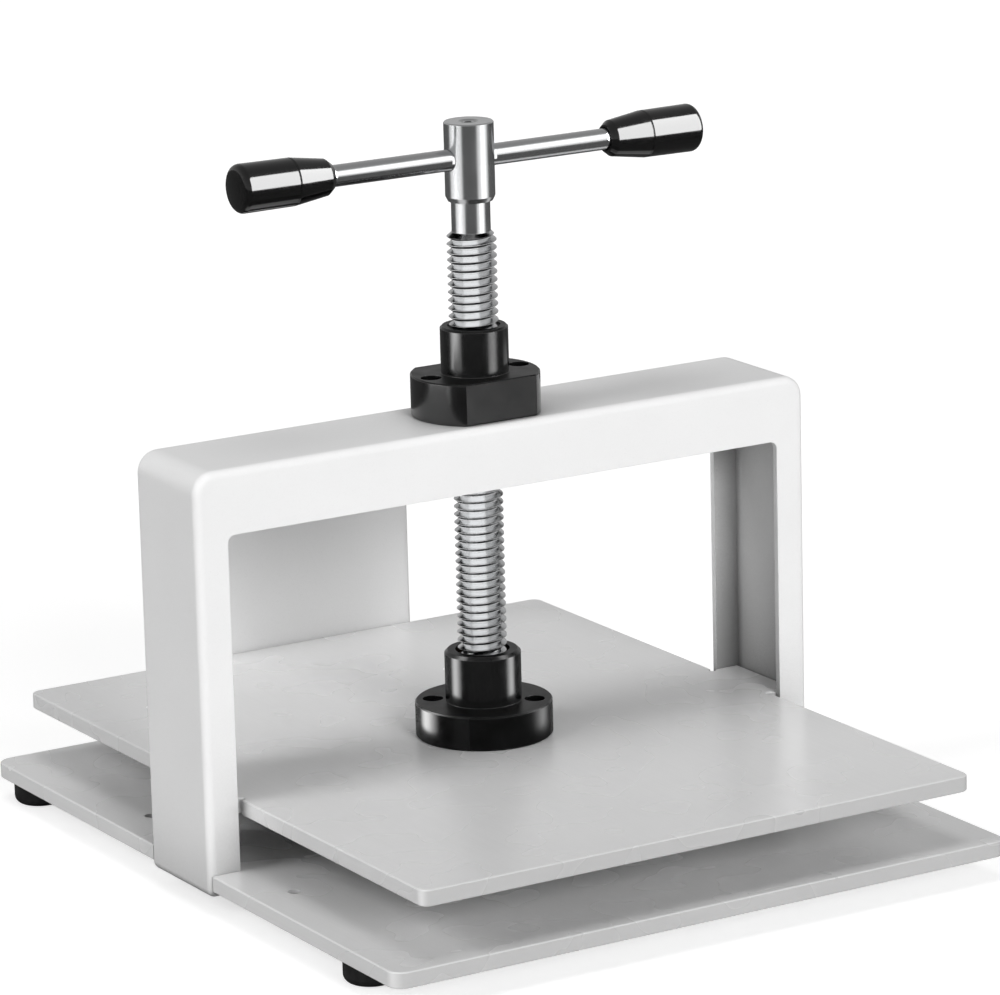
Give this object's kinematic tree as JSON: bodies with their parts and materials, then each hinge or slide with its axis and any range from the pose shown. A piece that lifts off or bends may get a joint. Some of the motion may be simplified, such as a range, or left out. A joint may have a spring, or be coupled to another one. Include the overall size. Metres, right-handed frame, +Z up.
{
  "type": "bookbinding press",
  "caption": "Hand press for bookbinding: a screw with a cross handle, held in a nut on a portal frame, drives a flat platen down onto a flat base plate.",
  "frame": {"origin": "on the bench, under the screw axis, in the middle of the rubber feet", "axes": "+X along the span of the portal frame, +Y to the rear stop, +Z up along the screw"},
  "size_m": [0.26, 0.308, 0.2728],
  "materials": {
    "plate_steel": "fine satin grey plate with bright broken edges",
    "frame_paint": "smooth white powder coat over bent sheet",
    "stop_paint": "smooth light grey powder coat",
    "bright_steel": "bright turned and polished steel",
    "black_flange": "glossy black oxide over turned steel",
    "black_fastener": "black oxide",
    "zinc_fastener": "bright zinc plate",
    "spring_steel": "oiled spring steel",
    "bronze": "plain bearing bronze",
    "brass_insert": "turned brass",
    "grip_plastic": "glossy black moulded phenolic",
    "foot_rubber": "matt black moulded rubber"
  },
  "bodies": {
    "base_frame": {"base_plate": "plate_steel", "portal_frame": "frame_paint", "frame_screws": "black_fastener", "frame_washers": "zinc_fastener", "rubber_feet": "foot_rubber", "foot_screws": "zinc_fastener", "foot_washers": "zinc_fastener", "rear_stop": "stop_paint", "rear_stop_screws": "zinc_fastener", "screw_nut": "black_flange", "nut_screws": "black_fastener", "nut_washers": "zinc_fastener", "hex_nuts": "zinc_fastener"},
    "platen_carriage": {"platen": "plate_steel", "spindle_seat": "black_flange", "seat_screws": "black_fastener", "thrust_washer": "bronze", "retaining_washer": "zinc_fastener"},
    "spindle_handle": {"spindle": "bright_steel", "retaining_ring": "spring_steel", "bar_set_screw": "black_fastener", "handle_bar": "bright_steel", "left_grip": "grip_plastic", "right_grip": "grip_plastic", "grip_inserts": "brass_insert"}
  },
  "joints": [
    {"name": "platen_lift", "type": "slide", "parent": "base_frame", "child": "platen_carriage", "axis": [0, 0, 1], "range_m": [-0.0198, 0.085]},
    {"name": "screw_turn", "type": "hinge", "parent": "platen_carriage", "child": "spindle_handle", "pos_m": [0, 0, 0.1], "axis": [0, 0, 1], "range_deg": [-2377, 10201]}
  ],
  "couplings": [
    {"joint": "screw_turn", "follows": "platen_lift", "rad_per_m": 2094.4}
  ]
}
